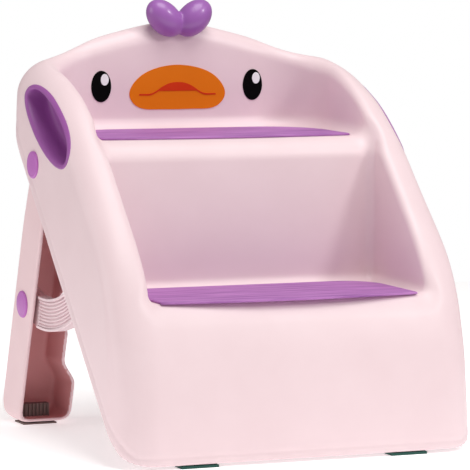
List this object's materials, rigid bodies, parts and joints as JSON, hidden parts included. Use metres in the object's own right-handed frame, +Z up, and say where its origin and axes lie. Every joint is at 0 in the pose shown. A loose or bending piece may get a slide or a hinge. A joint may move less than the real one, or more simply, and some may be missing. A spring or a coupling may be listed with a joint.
{
  "type": "folding two-step toddler stool",
  "caption": "Folding two-step stool for toddlers with side rails, duckling-faced headboard, anti-slip mats, hand-hold cups and a hinged rear leg frame.",
  "frame": {"origin": "on the floor, under the middle of the bounding box of the open stool", "axes": "+Z up; +Y from the front of the base towards the rear legs; +X to the viewer's right when facing the steps"},
  "size_m": [0.3788, 0.3399, 0.425],
  "materials": {
    "shell_pink": "satin moulded plastic, very fine grain",
    "leg_pink": "satin moulded plastic, very fine grain",
    "stay_pink": "satin moulded plastic, ribbed",
    "mat_purple": "soft rubber with fine streaked grain",
    "crest_purple": "soft gloss",
    "cup_purple": "satin",
    "cap_purple": "satin",
    "beak_orange": "printed inlay",
    "mouth_red": "printed inlay",
    "eye_black": "printed inlay",
    "eye_white": "printed inlay",
    "pin_steel": "turned",
    "washer_nylon": "plain",
    "grip_grey": "ribbed rubber",
    "pad_green": "plain rubber"
  },
  "bodies": {
    "stool": {"body_shell": "shell_pink", "lower_step_mat": "mat_purple", "upper_step_mat": "mat_purple", "crest": "crest_purple", "beak": "beak_orange", "mouth": "mouth_red", "handle_cup_left": "cup_purple", "eye_left": "eye_black", "eye_glint_left": "eye_white", "pivot_pin_left": "pin_steel", "pivot_washer_left": "washer_nylon", "pivot_clip_left": "pin_steel", "pivot_cap_left": "cap_purple", "front_pad_left": "pad_green", "handle_cup_right": "cup_purple", "eye_right": "eye_black", "eye_glint_right": "eye_white", "pivot_pin_right": "pin_steel", "pivot_washer_right": "washer_nylon", "pivot_clip_right": "pin_steel", "pivot_cap_right": "cap_purple", "front_pad_right": "pad_green"},
    "legs": {"leg_frame": "leg_pink", "arc_stay_left": "stay_pink", "arc_stay_right": "stay_pink", "stay_pin_left": "pin_steel", "stay_pin_right": "pin_steel", "leg_cap_left": "cap_purple", "leg_cap_right": "cap_purple", "foot_grip_left": "grip_grey", "foot_grip_right": "grip_grey"}
  },
  "joints": [
    {"name": "leg_fold", "type": "hinge", "parent": "stool", "child": "legs", "pos_m": [0, 0.0745, 0.266], "axis": [-1, 0, 0], "range_deg": [0, 46]}
  ]
}
